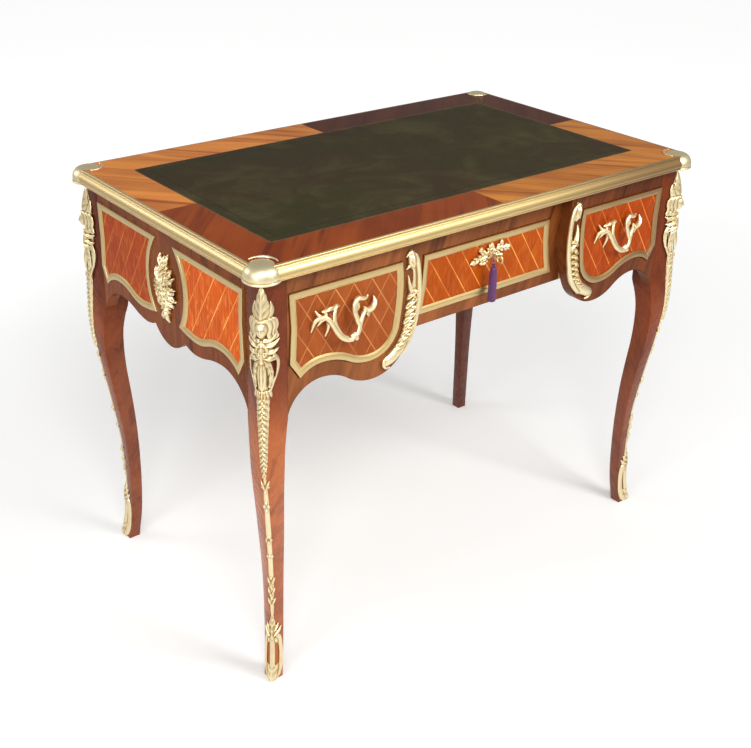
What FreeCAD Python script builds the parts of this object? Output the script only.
import FreeCAD, Part
import math
import os
from FreeCAD import Vector

os.makedirs("parts", exist_ok=True)

# Writing table with three frieze drawers, in millimetres.
# X is the width, the front faces -Y, Z is up and the floor is at 0.

# Driving sizes of the whole table
HEIGHT = 790.0
TOP_WIDTH = 978.0           # veneered top, inside its brass edge
TOP_DEPTH = 586.0
BOARD = 24.0                # thickness of the top
LEATHER_WIDTH = 837.0
LEATHER_DEPTH = 436.0
LEATHER = 1.5
EDGE_OUT = 12.0             # how far the brass edge stands out
FRIEZE_IN = 8.0             # frieze faces lie this far inside the veneered top
WALL = 22.0                 # thickness of the frieze boards
POST = 45.0                 # square post at the top of each leg
RECESS = 22.0               # the centre section stands this far back
BAND = 12.0                 # width of the brass frames
BAND_OUT = 3.5              # how far they stand out
GAP = 1.5                   # clearance round a drawer front

FRIEZE_TOP = HEIGHT - BOARD
FACE_X = TOP_WIDTH / 2 - FRIEZE_IN
FACE_Y = TOP_DEPTH / 2 - FRIEZE_IN
LEG_X = FACE_X - POST       # where the rails meet the legs
LEG_Y = FACE_Y - POST

# Side drawers and the blocks that hold them, measured on the right-hand one
DRAWER_TOP = 732.0
DRAWER_SPLIT = 600.0        # height of the joint between stile and apron
PARTITION_IN, PARTITION_OUT = 188.0, 206.0
SIDE_BOX = (227.0, 421.0)   # drawer box, from and to in X
SIDE_BOX_Z = (615.0, 724.0)

# Centre drawer
CENTRE_TOP, CENTRE_BOTTOM = 721.0, 616.0
CENTRE_HALF_TOP, CENTRE_HALF_BOTTOM = 148.0, 161.0
CENTRE_RAIL_LOW = 594.0
CENTRE_BOX = (-143.0, 143.0)
CENTRE_BOX_Z = (624.0, 714.0)

# Caps on the corners of the top
CAP_HALF = 27.5             # half their width
CAP_PROUD = 4.0             # how far they stand out of the brass edge
CAP_RISE = 4.0              # how far they rise above the top

# Drawer making
FRONT = 20.0                # thickness of a drawer front
SIDE = 10.0
BOTTOM = 6.0
BOTTOM_UP = 7.0             # height of the bottom board above the lower edge of the sides
BOX_BACK_Y = 225.0          # rear end of the drawer boxes
TAIL = 12.0                 # length of the dovetails
TAILS = 4

# Lock, key and tassel
KEY_Z = 688.0
KEY_RADIUS = 3.0
KEY_OUT = 40.0              # how far the key stands out of the drawer front
BOLT_TRAVEL = 8.0
CORD_DIAMETER = 1.6
CORD_SIDES = 5
TASSEL_TOP = KEY_Z - 13.0
TASSEL_LENGTH = 76.0

# A leg's outline, read off one side: height, outer face, inner face, edge where it meets a rail.
# Each is how far it stands out of the veneered top's edge.
CANT = 6.0                  # flat cut along the outer corner
POST_FOOT = 528.0           # above this the inner faces are upright
LEG_STATIONS = (
    (FRIEZE_TOP, -8.0, -53.0, -8.0), (700.0, -7.0, -53.0, -8.0), (640.0, -5.0, -53.0, -8.0),
    (580.0, -2.0, -53.0, -8.0), (528.0, 0.0, -53.0, -7.0), (500.0, 0.5, -47.5, -4.0),
    (470.0, -0.5, -43.5, -2.5), (430.0, -3.5, -42.5, -3.5), (386.0, -8.0, -44.0, -8.0),
    (340.0, -14.0, -47.5, -14.0), (286.0, -20.5, -51.0, -20.5), (228.0, -26.0, -53.0, -26.0),
    (170.0, -28.5, -53.5, -28.5), (110.0, -28.5, -52.5, -28.5), (58.0, -26.5, -50.0, -26.5),
    (20.0, -23.0, -46.0, -23.0), (0.0, -21.0, -44.0, -21.0))

PARTS = {}


def keep(name, *shapes):
    PARTS[name] = shapes[0] if len(shapes) == 1 else Part.makeCompound(list(shapes))


def box(x, y, z):
    """A box from three (low, high) pairs."""
    size = [high - low for low, high in (x, y, z)]
    return Part.makeBox(*size, Vector(x[0], y[0], z[0]))


def flip_x(shape):
    return shape.mirror(Vector(0, 0, 0), Vector(1, 0, 0))


def flip_y(shape):
    return shape.mirror(Vector(0, 0, 0), Vector(0, 1, 0))


def quarter_turn(shape):
    """Turn a shape about Z, so that +X goes to -Y and the front (-Y) goes to the left end (-X)."""
    turned = shape.copy()
    turned.rotate(Vector(0, 0, 0), Vector(0, 0, 1), -90)
    return turned


# Outlines in the XZ plane


def trace(start, *steps):
    """Edges from start. A step is ("to", x, z) for a straight run, ("turn", degrees) to set a
    heading, or ("bend", x, z) for an arc that leaves on the present heading."""
    edges, here, heading = [], Vector(start[0], 0, start[1]), 0.0
    for kind, *values in steps:
        if kind == "turn":
            heading = math.radians(values[0])
            continue
        end = Vector(values[0], 0, values[1])
        chord = end - here
        toward = math.atan2(chord.z, chord.x)
        if kind == "to":
            edges.append(Part.LineSegment(here, end).toShape())
            heading = toward
        else:
            half = math.remainder(toward - heading, 2 * math.pi)
            reach = chord.Length / (2 * math.cos(half / 2))
            middle = here + Vector(math.cos(heading + half / 2), 0, math.sin(heading + half / 2)) * reach
            edges.append(Part.Arc(here, middle, end).toShape())
            heading = toward + half
        here = end
    return edges


def face(edges):
    return Part.Face(Part.Wire(edges))


def raise_face(flat, y, thickness):
    """Give a face in the XZ plane a thickness, from y towards the back."""
    solid = flat.extrude(Vector(0, thickness, 0))
    solid.translate(Vector(0, y, 0))
    return solid


def offset(flat, distance):
    return flat.makeOffset2D(distance, 2, False, False, False)


def chorded(edges, widest=11.0):
    """The same outline with its arcs as chords, none turning more than widest degrees."""
    points = []
    for edge in Part.sortEdges(edges)[0]:
        sweep = 0.0
        if edge.Curve.TypeId == "Part::GeomCircle":
            sweep = math.degrees(edge.Length / edge.Curve.Radius)
        points += edge.discretize(max(2, math.ceil(sweep / widest) + 1))[:-1]
    return Part.Face(Part.makePolygon(points + points[:1]))


def side_drawer_outline():
    return chorded(trace((213, DRAWER_TOP), ("to", 433, DRAWER_TOP), ("turn", -96), ("bend", 433, 615),
                      ("to", 414, 586), ("turn", 138), ("bend", 374, 601.5), ("bend", 320, 587),
                      ("bend", 272, 575), ("bend", 216, 625), ("bend", 210.5, 672),
                      ("bend", 213, DRAWER_TOP)))


def centre_drawer_outline():
    return chorded(trace((-CENTRE_HALF_TOP, CENTRE_TOP), ("to", CENTRE_HALF_TOP, CENTRE_TOP), ("turn", -91),
                      ("bend", CENTRE_HALF_BOTTOM, CENTRE_BOTTOM), ("to", -CENTRE_HALF_BOTTOM, CENTRE_BOTTOM),
                      ("turn", 77), ("bend", -CENTRE_HALF_TOP, CENTRE_TOP)))


def block_outline():
    """Right-hand block: the leg's edge, the arch, the hanging lobe and the swept inner edge."""
    return face(trace((184, FRIEZE_TOP), ("to", LEG_X, FRIEZE_TOP), ("to", LEG_X, 526), ("turn", 106),
                      ("bend", 373, 573.5), ("bend", 320, 556), ("bend", 262, 538.5), ("bend", 199, 581),
                      ("bend", 179, 640), ("bend", 176.5, 700), ("bend", 184, FRIEZE_TOP)))


def end_panel_outline():
    """Frame of one false panel on an end, measured from the middle of the end."""
    return chorded(trace((28, 737), ("to", 237, 737), ("turn", -96), ("bend", 237, 616), ("to", 220, 585),
                      ("turn", 134), ("bend", 178, 605.5), ("bend", 128, 597), ("bend", 84, 589),
                      ("bend", 38, 597), ("turn", 55), ("bend", 28, 737)))


def end_board_outline():
    half = [("to", LEG_Y, 530), ("turn", 112), ("bend", 168, 578), ("bend", 122, 570), ("bend", 88, 563),
            ("bend", 49, 571), ("turn", -128), ("bend", 0, 546)]
    edges = trace((0, FRIEZE_TOP), ("to", LEG_Y, FRIEZE_TOP), *half)
    mirrored = [flip_x(edge) for edge in edges]
    return face(Part.sortEdges(edges + mirrored)[0])


# Relief ornament: a half-round ridge that follows a line and changes width and height


def skin(rings, closed=False):
    """Solid of flat facets through rings that all have the same number of points."""
    faces = []
    pairs = list(zip(rings, rings[1:]))
    if closed:
        pairs.append((rings[-1], rings[0]))
    for lower, upper in pairs:
        for index in range(len(lower)):
            after = (index + 1) % len(lower)
            for a, b, c in ((lower[index], lower[after], upper[after]), (lower[index], upper[after], upper[index])):
                faces.append(Part.Face(Part.makePolygon([a, b, c, a])))
    if not closed:
        for ring in (rings[0], rings[-1]):
            middle = sum(ring[1:], ring[0]) * (1 / len(ring))
            for index in range(len(ring)):
                faces.append(Part.Face(Part.makePolygon([ring[index], ring[(index + 1) % len(ring)], middle,
                                                         ring[index]])))
    solid = Part.Solid(Part.Shell(faces))
    return solid if solid.Volume > 0 else Part.Solid(Part.Shell([one.reversed() for one in faces]))


# Sections of a ridge: (share of the half width, share of the height)
ROUND = ((-1.0, 0.0), (-0.72, 0.62), (0.0, 1.0), (0.72, 0.62), (1.0, 0.0))
LEAF = ((-1.0, 0.0), (0.0, 1.0), (1.0, 0.0))


def ridge(stations, place, sink=0.0, section=ROUND):
    """Ridge through (u, v, half width, height) stations, put on a surface by place(u, v, out)."""
    rings = []
    for index, (u, v, half, height) in enumerate(stations):
        before = stations[max(index - 1, 0)]
        after = stations[min(index + 1, len(stations) - 1)]
        length = math.hypot(after[0] - before[0], after[1] - before[1])
        across = ((after[1] - before[1]) / length * half, -(after[0] - before[0]) / length * half)
        rings.append([place(u + share * across[0], v + share * across[1], rise * (height + sink) - sink)
                      for share, rise in section])
    return skin(rings)


def around(count):
    return [2 * math.pi * index / count for index in range(count)]


def round_ring(centre, direction, radius, sides, first=None):
    """Points of a regular polygon round a centre, square to a direction."""
    direction = Vector(direction).normalize()
    if first is None:
        spare = Vector(0, 0, 1) if abs(direction.z) < 0.9 else Vector(1, 0, 0)
        first = direction.cross(spare)
    first = (first - direction * first.dot(direction)).normalize()
    second = direction.cross(first)
    return [centre + first * (radius * math.cos(turn)) + second * (radius * math.sin(turn))
            for turn in around(sides)]


def horn(points, radii, sides=5):
    """A tapering branch through points."""
    rings, first = [], None
    for index, point in enumerate(points):
        ahead = points[min(index + 1, len(points) - 1)] - points[max(index - 1, 0)]
        rings.append(round_ring(point, ahead, radii[index], sides, first))
        first = rings[-1][0] - point
    return skin(rings)


def prism(centre, direction, radius, length, sides):
    return skin([round_ring(centre + direction * step, direction, radius, sides) for step in (0, length)])


def on_front(y):
    """Place relief on an upright face that looks to the front."""
    return lambda u, v, out: Vector(u, y - out, v)


def on_end(x):
    """Place relief on the left-hand end."""
    return lambda u, v, out: Vector(x - out, u, v)


def pearl(centre, sizes, sides=8, rows=4):
    """Egg shape from level rings."""
    rings = []
    for row in range(rows):
        tilt = math.radians(-75 + 150 * row / (rows - 1))
        rings.append([centre + Vector(sizes[0] * math.cos(tilt) * math.cos(turn),
                                      sizes[1] * math.cos(tilt) * math.sin(turn), sizes[2] * math.sin(tilt))
                      for turn in around(sides)])
    return skin(rings)


# Legs and what is on their corners, made for the front left one


def smooth(stations, column, z):
    """Value of a column at a height, on a curve without corners through the stations."""
    last = len(stations) - 1
    for index in range(last):
        upper, lower = stations[index], stations[index + 1]
        if lower[0] <= z <= upper[0]:
            break
    else:
        raise ValueError("height is off the leg")
    before, after = stations[max(index - 1, 0)], stations[min(index + 2, last)]
    step = lower[0] - upper[0]
    leave = (lower[column] - before[column]) / (lower[0] - before[0]) * step
    arrive = (after[column] - upper[column]) / (after[0] - upper[0]) * step
    t = (z - upper[0]) / step
    return ((2 * t ** 3 - 3 * t ** 2 + 1) * upper[column] + (t ** 3 - 2 * t ** 2 + t) * leave
            + (3 * t ** 2 - 2 * t ** 3) * lower[column] + (t ** 3 - t ** 2) * arrive)


def leg_corner(z):
    """Offset of the outer faces at a height."""
    return smooth(LEG_STATIONS, 1, z)


def make_leg():
    """Square cabriole leg with a flat along its outer corner, widening into the post."""
    heights = [station[0] for station in LEG_STATIONS]
    heights += [(a + b) / 2 for a, b in zip(heights, heights[1:]) if a <= POST_FOOT]
    rings = []
    for z in sorted(heights):
        outer, rail = leg_corner(z), smooth(LEG_STATIONS, 3, z)
        inner = -FRIEZE_IN - POST if z >= POST_FOOT else smooth(LEG_STATIONS, 2, z)
        rail = -FRIEZE_IN if z > POST_FOOT else rail
        corners = ((outer, outer - CANT), (outer - CANT, outer), (inner, rail), (inner, inner), (rail, inner))
        rings.append([Vector(-TOP_WIDTH / 2 - a, -TOP_DEPTH / 2 - b, z) for a, b in corners])
    return skin(rings)


def on_leg(u, v, out):
    """Place relief over the corner of the front left leg: u is across it, v the height."""
    outer = leg_corner(v)
    corner = Vector(-TOP_WIDTH / 2 - outer + CANT / 2, -TOP_DEPTH / 2 - outer + CANT / 2, v)
    outward = Vector(-1, -1, 0).normalize()
    across = Vector(1, -1, 0).normalize()
    fold = max(0.0, abs(u) - CANT / math.sqrt(2))
    return corner + across * u + outward * (out - fold)


def make_knee_mount(leg):
    """Cast bust on the knee: leaf crest, head, collar of leaves and a long drop."""
    stem = ridge([(0, 756, 2, 2), (0, 738, 8, 6), (0, 715, 14, 9), (0, 692, 16, 10), (0, 655, 15, 9),
                  (0, 625, 18, 12), (0, 604, 17, 11), (0, 570, 14, 10), (0, 530, 11.5, 9), (0, 490, 8.5, 7),
                  (0, 427, 3, 2)], on_leg, 1.0)
    head = pearl(on_leg(0, 686, 5), (15, 15, 19))
    collar = []
    for side in (-1, 1):
        collar.append(ridge([(side * 9, 604, 4, 8), (side * 16, 622, 5, 9), (side * 23, 636, 4, 7),
                             (side * 25, 646, 1, 3)], on_leg, 1.0, LEAF))
        collar.append(ridge([(side * 6, 545, 3, 7), (side * 15, 566, 4, 8), (side * 22, 590, 4, 6),
                             (side * 22, 606, 1, 3)], on_leg, 1.0, LEAF))
    return stem.fuse([head] + collar).cut(leg).removeSplitter()


def make_sabot(leg):
    """Pointed shoe on the foot, with two long slots and a curled toe."""
    shoe = ridge([(0, 132, 2, 1.5), (0, 112, 6, 4), (0, 92, 10, 4.5), (0, 64, 14, 5), (0, 36, 15, 5),
                  (0, 16, 13.5, 8), (0, 0, 11, 9)], on_leg, 1.0)
    toe = horn([on_leg(0, 24, 3), on_leg(0, 14, 8), on_leg(0, 10, 11), on_leg(0, 12, 14)], [4, 5, 4.5, 3])
    slots = [ridge([(u, 28, 1.0, 12), (u, 46, 2.6, 12), (u, 70, 1.0, 12)], on_leg, 3.0, LEAF) for u in (-7.5, 7.5)]
    return shoe.cut(slots).fuse(toe).cut(leg).removeSplitter()


def make_fillet(leg):
    """Half-round brass line down the corner, with small flared leaves."""
    line = ridge([(0, z, 4.6, 3.0) for z in (426, 390, 350, 300, 250, 200, 165, 132)], on_leg, 1.0, LEAF)
    leaves = [ridge([(0, z, 4.8, 3.2), (0, z + 12, 7.5, 4), (0, z + 17, 6.5, 1.5)], on_leg, 1.0, LEAF)
              for z in (150, 195, 250, 320, 395)]
    return line.fuse(leaves).cut(leg).removeSplitter()


def four_corners(shape):
    left = [shape, flip_y(shape)]
    return left + [flip_x(one) for one in left]


leg = make_leg()
CORNERS = ("front_left", "rear_left", "front_right", "rear_right")
for name, shape in zip(CORNERS, four_corners(leg)):
    keep("leg_" + name, shape)
for name, shape in zip(CORNERS, four_corners(make_knee_mount(leg))):
    keep("knee_mount_" + name, shape)
for name, shape in zip(CORNERS, four_corners(make_sabot(leg))):
    keep("sabot_" + name, shape)
keep("leg_corner_lines", *four_corners(make_fillet(leg)))


# Top: board, leather, brass edge and corner mounts


def make_edge():
    """Brass edge of the front: quirk, bead and a long quarter round, mitred at both ends."""
    z = HEIGHT
    inner = TOP_DEPTH / 2
    profile = [Vector(0, -inner, z), Vector(0, -inner - 3, z)]
    bead = Part.Arc(profile[1], Vector(0, -inner - 5, z - 1.2), Vector(0, -inner - 5.4, z - 4)).toShape()
    sweep = Part.Arc(Vector(0, -inner - 5.4, z - 5.4), Vector(0, -inner - 10.6, z - 10.5),
                     Vector(0, -inner - EDGE_OUT, z - 18)).toShape()
    edges = [Part.LineSegment(profile[0], profile[1]).toShape(), bead,
             Part.LineSegment(Vector(0, -inner - 5.4, z - 4), Vector(0, -inner - 5.4, z - 5.4)).toShape(), sweep]
    rest = [Vector(0, -inner - EDGE_OUT, z - 18), Vector(0, -inner - EDGE_OUT + 1, z - BOARD),
            Vector(0, -inner, z - BOARD), Vector(0, -inner, z)]
    edges += [Part.LineSegment(a, b).toShape() for a, b in zip(rest, rest[1:])]
    return Part.Face(Part.Wire(edges))


def mitred(profile, half_length, depth):
    """Run a profile along the front and cut both ends at 45 degrees."""
    run = profile.extrude(Vector(2 * (half_length + EDGE_OUT), 0, 0))
    run.translate(Vector(-half_length - EDGE_OUT, 0, 0))
    far = depth + 4 * EDGE_OUT
    corner = depth / 2
    wedge = [Vector(half_length, -corner, 0), Vector(half_length + far, -corner - far, 0),
             Vector(half_length + far, -corner + far, 0), Vector(half_length, -corner, 0)]
    cutter = Part.Face(Part.makePolygon(wedge)).extrude(Vector(0, 0, HEIGHT * 2))
    return run.cut([cutter, flip_x(cutter)])


def rounded_square(centre, half, z, corner_power=2.6, count=20):
    """Level ring between a circle and a square."""
    ring = []
    for turn in around(count):
        across, along = math.cos(turn), math.sin(turn)
        reach = half / (abs(across) ** corner_power + abs(along) ** corner_power) ** (1 / corner_power)
        ring.append(Vector(centre + reach * across, centre + (TOP_WIDTH - TOP_DEPTH) / 2 + reach * along, z))
    return ring


def make_corner_mount(others):
    """Domed cap over the mitre of the brass edge, with a leaf behind it that lies on the top."""
    centre = -TOP_WIDTH / 2 - EDGE_OUT - CAP_PROUD + CAP_HALF
    dome = ((0.90, -25.0), (1.0, -18.0), (0.98, -9.0), (0.86, -1.0), (0.62, 2.6), (0.3, CAP_RISE))
    cap = skin([rounded_square(centre, CAP_HALF * share, HEIGHT + rise) for share, rise in dome])
    leaf = ridge([(0, 2, 14, 1.5), (0, 12, 17, 3.2), (0, 22, 12, 2.6), (0, 32, 2, 1.5)],
                 lambda u, v, out: Vector(centre + (v + u) * math.sqrt(0.5),
                                          centre + (TOP_WIDTH - TOP_DEPTH) / 2 + (v - u) * math.sqrt(0.5),
                                          HEIGHT + out))
    return cap.fuse(leaf).cut(others).removeSplitter()


leather = box((-LEATHER_WIDTH / 2, LEATHER_WIDTH / 2), (-LEATHER_DEPTH / 2, LEATHER_DEPTH / 2),
              (HEIGHT - LEATHER, HEIGHT))
board = box((-TOP_WIDTH / 2, TOP_WIDTH / 2), (-TOP_DEPTH / 2, TOP_DEPTH / 2), (FRIEZE_TOP, HEIGHT))
board = board.cut(leather)
long_edge = mitred(make_edge(), TOP_WIDTH / 2, TOP_DEPTH)
short_profile = make_edge()
short_profile.translate(Vector(0, (TOP_DEPTH - TOP_WIDTH) / 2, 0))
short_edge = quarter_turn(mitred(short_profile, TOP_DEPTH / 2, TOP_WIDTH))
keep("top_board", board)
keep("leather_surface", leather)
keep("edge_mouldings_long", long_edge, flip_y(long_edge))
keep("edge_mouldings_ends", short_edge, flip_x(short_edge))
corner = make_corner_mount([board, long_edge, short_edge, leg])
keep("corner_mounts", *four_corners(corner))

# Frieze: blocks for the side drawers, recessed centre, ends, back and partitions

front_y = -FACE_Y
plate = raise_face(block_outline(), front_y, WALL)
drawer_face = side_drawer_outline()
plate = plate.cut(raise_face(offset(drawer_face, GAP), front_y - 1, WALL + 2))
wide = (0, TOP_WIDTH)
deep = (-TOP_DEPTH, 0)
rail_low = DRAWER_TOP + GAP
right = {"top_rail_right": plate.common(box(wide, deep, (rail_low, FRIEZE_TOP))),
         "block_stile_right": plate.common(box((0, 300), deep, (DRAWER_SPLIT, rail_low))),
         "apron_right": plate.common(box(wide, deep, (0, DRAWER_SPLIT))).fuse(
             plate.common(box((300, TOP_WIDTH), deep, (DRAWER_SPLIT, rail_low)))).removeSplitter()}
for name, shape in right.items():
    keep(name, shape)
    keep(name.replace("right", "left"), flip_x(shape))

centre_y = front_y + RECESS
back_y = FACE_Y
centre_face = centre_drawer_outline()
centre_plate = box((-PARTITION_IN, PARTITION_IN), (centre_y, centre_y + WALL), (CENTRE_RAIL_LOW, FRIEZE_TOP))
centre_plate = centre_plate.cut(raise_face(offset(centre_face, GAP), centre_y - 1, WALL + 2))
top_cut, low_cut = CENTRE_TOP + GAP, CENTRE_BOTTOM - GAP
across = (-TOP_WIDTH, TOP_WIDTH)
mortise = box((-15, 15), (centre_y + 7, centre_y + 15), (top_cut - 1, top_cut + BOLT_TRAVEL + 3))
keep("top_rail_centre", centre_plate.common(box(across, deep, (top_cut, FRIEZE_TOP))).cut(mortise))
keep("bottom_rail_centre", centre_plate.common(box(across, deep, (0, low_cut))))
keep("centre_stiles", centre_plate.common(box(across, deep, (low_cut, top_cut))))

back_blocks = block_outline()
back_plate = raise_face(back_blocks, back_y - WALL, WALL)
back_middle = box((-200, 200), (back_y - WALL, back_y), (CENTRE_RAIL_LOW, FRIEZE_TOP))
back_panel = back_middle.fuse([back_plate, flip_x(back_plate)]).removeSplitter()
keep("back_panel", back_panel)

# The end boards are drawn as if they faced the front, then turned to the left end
end_board = raise_face(end_board_outline(), -FACE_X, WALL)
end_board = quarter_turn(end_board)
keep("end_board_left", end_board)
keep("end_board_right", flip_x(end_board))

partition = box((PARTITION_IN, PARTITION_OUT), (centre_y, back_y - WALL), (CENTRE_RAIL_LOW, FRIEZE_TOP))
partition = partition.cut(right["block_stile_right"])
keep("partition_right", partition)
keep("partition_left", flip_x(partition))


# Brass frames


def frame_on_front(flat, y):
    return raise_face(flat.cut(offset(flat, -BAND)), y - BAND_OUT, BAND_OUT)


side_frame = frame_on_front(drawer_face, front_y)
centre_frame = frame_on_front(centre_face, centre_y)
end_frame = quarter_turn(frame_on_front(end_panel_outline(), -FACE_X))
end_frames = [end_frame, flip_y(end_frame)]
keep("end_frames_left", *end_frames)
keep("end_frames_right", *[flip_x(one) for one in end_frames])
back_side_frame = flip_y(side_frame)
back_centre = flip_y(frame_on_front(centre_face, front_y))
keep("back_frames", back_side_frame, flip_x(back_side_frame), back_centre)


# Drawers


def make_drawer(flat, y, x_range, z_range):
    """Front, dovetailed sides with a back, and a bottom held in grooves."""
    front = raise_face(flat, y, FRONT)
    x0, x1 = x_range
    z0, z1 = z_range
    joint = y + FRONT
    pitch = (z1 - z0) / TAILS
    side = box((x0, x0 + SIDE), (joint, BOX_BACK_Y), z_range)
    for index in range(TAILS):
        middle = z0 + pitch * (index + 0.5)
        narrow, broad = pitch * 0.24, pitch * 0.36
        tail = [Vector(x0, joint, middle - narrow), Vector(x0, joint - TAIL, middle - broad),
                Vector(x0, joint - TAIL, middle + broad), Vector(x0, joint, middle + narrow)]
        side = side.fuse(Part.Face(Part.makePolygon(tail + tail[:1])).extrude(Vector(SIDE, 0, 0)))
    side = side.removeSplitter()
    other = side.copy()
    other.translate(Vector(x1 - x0 - SIDE, 0, 0))
    rear = box((x0 + SIDE, x1 - SIDE), (BOX_BACK_Y - SIDE, BOX_BACK_Y), (z0 + BOTTOM_UP + BOTTOM, z1 - 4))
    low = z0 + BOTTOM_UP
    bottom = box((x0 + 5, x1 - 5), (joint - 6, BOX_BACK_Y), (low, low + BOTTOM))
    front = front.cut([side, other, bottom])
    return front, [side.cut(bottom), other.cut(bottom), rear], bottom


right_front, right_sides, right_bottom = make_drawer(drawer_face, front_y, SIDE_BOX, SIDE_BOX_Z)
centre_front, centre_sides, centre_bottom = make_drawer(centre_face, centre_y, CENTRE_BOX, CENTRE_BOX_Z)
keep("drawer_frame_right", side_frame)
keep("drawer_frame_left", flip_x(side_frame))
keep("drawer_frame_centre", centre_frame)
keep("drawer_sides_right", *right_sides)
keep("drawer_sides_left", *[flip_x(one) for one in right_sides])
keep("drawer_sides_centre", *centre_sides)
keep("drawer_bottom_right", right_bottom)
keep("drawer_bottom_left", flip_x(right_bottom))
keep("drawer_bottom_centre", centre_bottom)


def runner(wall_x, box_x, z, y_range):
    """L-shaped runner on a wall: a ledge under the drawer side and a guide beside it."""
    reach = box_x + math.copysign(SIDE + 4, box_x - wall_x)
    ledge = box(sorted((wall_x, reach)), y_range, (z - 14, z - 0.5))
    guide_x = box_x - math.copysign(0.7, box_x - wall_x)
    guide = box(sorted((wall_x, guide_x)), y_range, (z - 14, z + 16))
    return ledge.fuse(guide).removeSplitter()


run_y = (centre_y + WALL, back_y - WALL)
side_run_y = (front_y + WALL, back_y - WALL)
runners = [runner(PARTITION_IN, CENTRE_BOX[1], CENTRE_BOX_Z[0], run_y),
           runner(PARTITION_OUT, SIDE_BOX[0], SIDE_BOX_Z[0], side_run_y),
           runner(FACE_X - WALL, SIDE_BOX[1], SIDE_BOX_Z[0], (-LEG_Y, LEG_Y))]
kickers = [box((CENTRE_BOX[1] - 20, PARTITION_IN), run_y, (CENTRE_BOX_Z[1] + 1, FRIEZE_TOP)),
           box((PARTITION_OUT, SIDE_BOX[0] + 20), side_run_y, (SIDE_BOX_Z[1] + 1, FRIEZE_TOP)),
           box((SIDE_BOX[1] - 20, LEG_X), side_run_y, (SIDE_BOX_Z[1] + 1, FRIEZE_TOP))]
guides = runners + kickers
keep("drawer_runners", *(guides + [flip_x(one) for one in guides]))

# Handles: cast branches with a dipping grip that leaves room for the fingers

HANDLE_X, HANDLE_Z = 322.0, 652.0
POST_LEFT, POST_RIGHT = -32.0, 36.0
STUD_RADIUS = 2.5
# Root, middle and tip of each cast leaf, from the middle of the handle
HANDLE_LEAVES = (((-33, 12), (-50, 16), (-64, 2)), ((-33, 11), (-49, 6), (-57, -14)),
                 ((-32, 10), (-42, -2), (-42, -24)), ((-31, 13), (-22, 21), (-11, 18)),
                 ((35, 13), (30, 24), (41, 31)), ((36, 12), (50, 16), (59, 27)), ((36, 11), (47, 9), (57, 0)))


def handle_point(x, z, out):
    return Vector(x, front_y - out, HANDLE_Z + z)


def make_handle():
    grip = horn([handle_point(*p) for p in ((POST_LEFT, 12, 0), (POST_LEFT, 12, 7), (-24, -6, 17), (-8, -24, 19.5),
                                            (6, -28, 19.5), (20, -18, 18.5), (28, -2, 15), (POST_RIGHT, 12, 7),
                                            (POST_RIGHT, 12, 0))], [5, 4.5, 4, 4, 4.4, 4, 4, 4.5, 5])
    leaves = []
    for root, middle, tip in HANDLE_LEAVES:
        leaves.append(horn([handle_point(*root, 6), handle_point(*middle, 13), handle_point(*tip, 4)],
                           [4.4, 4.0, 1.2], 4))
    studs = []
    for x in (POST_LEFT, POST_RIGHT):
        end = handle_point(x, 12, -FRONT - 7)
        studs.append(prism(end, Vector(0, -1, 0), STUD_RADIUS, FRONT + 8, 6))
        studs.append(prism(end + Vector(0, -3, 0), Vector(0, -1, 0), 5.0, 4, 6))
    return grip.fuse(leaves + studs).removeSplitter()


handle = make_handle()
for side, x in (("right", HANDLE_X), ("left", -HANDLE_X)):
    pull = handle.copy()
    pull.translate(Vector(x, 0, 0))
    keep("handle_" + side, pull)
    front = right_front if side == "right" else flip_x(right_front)
    holes = [prism(Vector(x + post, front_y - FRONT, HANDLE_Z + 12), Vector(0, 1, 0), STUD_RADIUS, 3 * FRONT, 6)
             for post in (POST_LEFT, POST_RIGHT)]
    keep("drawer_front_" + side, front.cut(holes))


# Scroll mounts on the inner edges of the blocks


def make_scroll():
    place = on_front(front_y)
    spine = ridge([(196, 738, 6, 5), (188, 744, 6, 7), (183, 735, 6, 8), (182.5, 710, 5.5, 9), (181.5, 680, 5.5, 9),
                   (184, 645, 5.5, 9), (190, 616, 5.5, 9), (202, 590, 6, 9), (218, 572, 7, 9), (234, 563, 8, 9),
                   (243, 568, 6, 6)], place)
    leaves = [ridge([(x - 2, z + 6, 2, 3), (x + 5, z + 2, 6, 7), (x + 12, z - 6, 6.5, 7), (x + 15, z - 14, 2, 3)],
                    place, 0.0, LEAF) for x, z in ((188, 716), (187, 690), (188, 664), (191, 638), (198, 612))]
    return spine.fuse(leaves).removeSplitter()


scroll = make_scroll()
scroll = scroll.cut(raise_face(offset(drawer_face, GAP), front_y - 40, 60))
keep("scroll_mount_right", scroll)
keep("scroll_mount_left", flip_x(scroll))


# Flower mounts in the middle of the ends


def make_cluster():
    place = on_end(-FACE_X)
    body = ridge([(2, 594, 3, 2), (4, 612, 14, 7), (-4, 632, 28, 10), (2, 654, 34, 12), (-3, 676, 26, 10),
                  (4, 696, 16, 7), (2, 713, 5, 3)], place)
    petals = []
    for turn, reach in ((20, 38), (75, 50), (130, 40), (165, 36), (210, 42), (255, 50), (300, 44), (345, 38)):
        along, up = math.cos(math.radians(turn)), math.sin(math.radians(turn))
        petals.append(ridge([(share * reach * along, 654 + share * reach * up, half, height)
                             for share, half, height in ((0.1, 5, 12), (0.65, 9, 13), (1.0, 3, 5))],
                            place, 0.0, LEAF))
    return body.fuse(petals).removeSplitter()


cluster = make_cluster()
keep("flower_mount_left", cluster)
keep("flower_mount_right", flip_x(cluster))

# Escutcheon, lock, key and tassel on the centre drawer

key_hole_radius = KEY_RADIUS + 0.05


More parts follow.
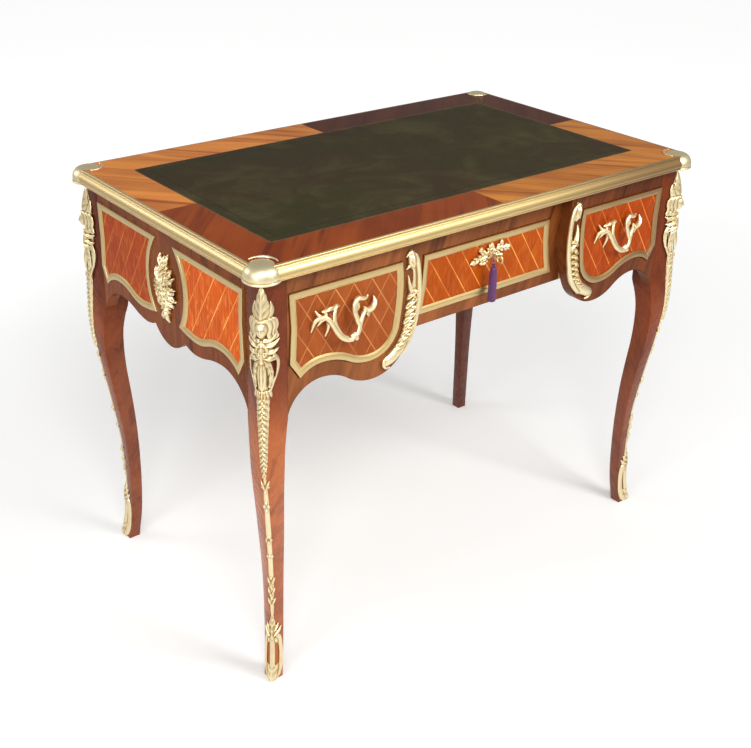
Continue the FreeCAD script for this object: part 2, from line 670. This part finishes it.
def make_escutcheon():
    place = on_front(centre_y)
    sprays = []
    for side in (-1, 1):
        for tip_x, tip_z, bow in ((47, -8, 4), (42, 10, 6), (26, 18, 6), (30, -15, -4), (14, -18, -2)):
            tip = (side * tip_x, KEY_Z + tip_z)
            middle = (tip[0] * 0.55, KEY_Z + tip_z * 0.55 + bow)
            sprays.append(ridge([(side * 2, KEY_Z, 4, 5), (*middle, 5.5, 6.5), (*tip, 1.5, 2)], place, 0.0, LEAF))
    centre = pearl(place(0, KEY_Z, 0), (9, 6, 11)).common(box(across, (centre_y - 50, centre_y), (0, HEIGHT)))
    hole = Part.makeCylinder(key_hole_radius, 100, Vector(0, centre_y - 50, KEY_Z), Vector(0, 1, 0))
    return centre.fuse(sprays).cut(hole).removeSplitter()


lock_y = centre_y + 6.0                       # the lock is let into the back of the front
case_z = (KEY_Z - 26.0, CENTRE_TOP)
lock_body = box((-32, 32), (lock_y, centre_y + FRONT), case_z)
lock_inside = box((-29, 29), (lock_y + 2, centre_y + FRONT - 2), (case_z[0] + 3, case_z[1] - 3))
bolt_slot = box((-12.3, 12.3), (lock_y + 1.5, lock_y + 8.5), (case_z[1] - 4, case_z[1] + 1))
key_bore = Part.makeCylinder(key_hole_radius, 100, Vector(0, centre_y - 50, KEY_Z), Vector(0, 1, 0))
lock_case = lock_body.cut([lock_inside, key_bore])
pocket = box((-32, 32), (lock_y, centre_y + FRONT), (case_z[0], case_z[1] + 1))
centre_front = centre_front.cut([pocket, key_bore])
keep("drawer_front_centre", centre_front)
keep("escutcheon", make_escutcheon())
bolt_y = (lock_y + 2.5, lock_y + 7.0)
bolt = box((-12, 12), bolt_y, (KEY_Z + 13, CENTRE_TOP - 0.5))
bolt = bolt.fuse(box((-24, 24), bolt_y, (KEY_Z + 11, KEY_Z + 18))).removeSplitter()
slot = box((-12.2, 12.2), (bolt_y[0] - 0.2, bolt_y[1] + 0.2), (case_z[1] - 5, case_z[1] + 1))
keep("lock_case", lock_case.cut(slot))
keep("lock_bolt", bolt)


def make_key():
    """Barrel key with a bit inside the lock and a ring bow."""
    start = Vector(0, centre_y - KEY_OUT + 18, KEY_Z)
    shank = Part.makeCylinder(KEY_RADIUS, KEY_OUT - 18 + FRONT - 1, start, Vector(0, 1, 0))
    bit = box((-1.2, 1.2), (lock_y + 8, lock_y + 11), (KEY_Z - 9, KEY_Z - 1))
    collar = prism(start, Vector(0, 1, 0), 4.6, 3, 12)
    bow = start + Vector(0, -9, 0)
    ring = skin([round_ring(bow + Vector(0, 8 * math.cos(turn), 8 * math.sin(turn)),
                            Vector(0, -math.sin(turn), math.cos(turn)), 1.8, 5, Vector(1, 0, 0))
                 for turn in around(12)], closed=True)
    return shank.fuse([bit, collar, ring]).removeSplitter()


keep("key", make_key())
tassel_y = centre_y - 17.0

# Silk cord of the tassel, looped over the key: points (x, height over the key's axis)
CORD_ROUTE = ((-1.2, -12.6), (-3.7, -7.0), (-5.08, 0.0), (-2.54, 4.4), (2.54, 4.4), (5.08, 0.0), (3.7, -7.0),
              (1.2, -12.6))


def cord_tube(route, diameter):
    """Straight runs joined by tangent arcs, as large as the shorter run beside each point allows."""
    points = [Vector(x, tassel_y, KEY_Z + z) for x, z in route]
    edges, here = [], points[0]
    for before, at, after in zip(points, points[1:], points[2:]):
        back, ahead = (before - at).normalize(), (after - at).normalize()
        shorter = min((before - at).Length, (after - at).Length)
        half_turn = (math.pi - back.getAngle(ahead)) / 2
        cut = 0.45 * shorter
        radius = cut / math.tan(half_turn)
        print("cord bend radius", round(radius, 2), "mm")
        start, end = at + back * cut, at + ahead * cut
        toward = (back + ahead).normalize()
        middle = at + toward * (radius / math.cos(half_turn) - radius)
        edges += [Part.LineSegment(here, start).toShape(), Part.Arc(start, middle, end).toShape()]
        here = end
    edges.append(Part.LineSegment(here, points[-1]).toShape())
    path = Part.Wire(edges)
    corners = round_ring(points[0], points[1] - points[0], diameter / 2, CORD_SIDES)
    tube = path.makePipeShell([Part.makePolygon(corners + corners[:1])], True, False)
    section = CORD_SIDES / 2 * math.sin(2 * math.pi / CORD_SIDES) * (diameter / 2) ** 2
    print("cord length", round(path.Length, 1), "mm, volume share",
          round(tube.Volume / (path.Length * section), 3))
    return tube


def make_tassel():
    """Turned-looking head, bound neck and a skirt of straight silk."""
    profile = ((3.2, 0), (6.4, -4), (6.6, -9), (4.6, -13), (4.8, -15.5), (6.8, -18.5), (7.6, -30),
               (8.2, -60), (8.4, -TASSEL_LENGTH))
    return skin([round_ring(Vector(0, tassel_y, TASSEL_TOP + z), Vector(0, 0, 1), r, 12) for r, z in profile])


keep("tassel_cord", cord_tube(CORD_ROUTE, CORD_DIAMETER))
keep("tassel", make_tassel())

for name, shape in sorted(PARTS.items()):
    solids = shape.Solids
    state = "" if shape.isValid() and solids else "  NOT VALID"
    size = shape.BoundBox
    print(f"{name:24s} solids {len(solids)}  faces {len(shape.Faces):4d}  volume {shape.Volume / 1000:8.1f} cm3"
          f"  z {size.ZMin:6.1f} to {size.ZMax:6.1f}{state}")
    (solids[0] if len(solids) == 1 else Part.makeCompound(solids)).exportStep(f"parts/{name}.step")
print(len(PARTS), "parts")
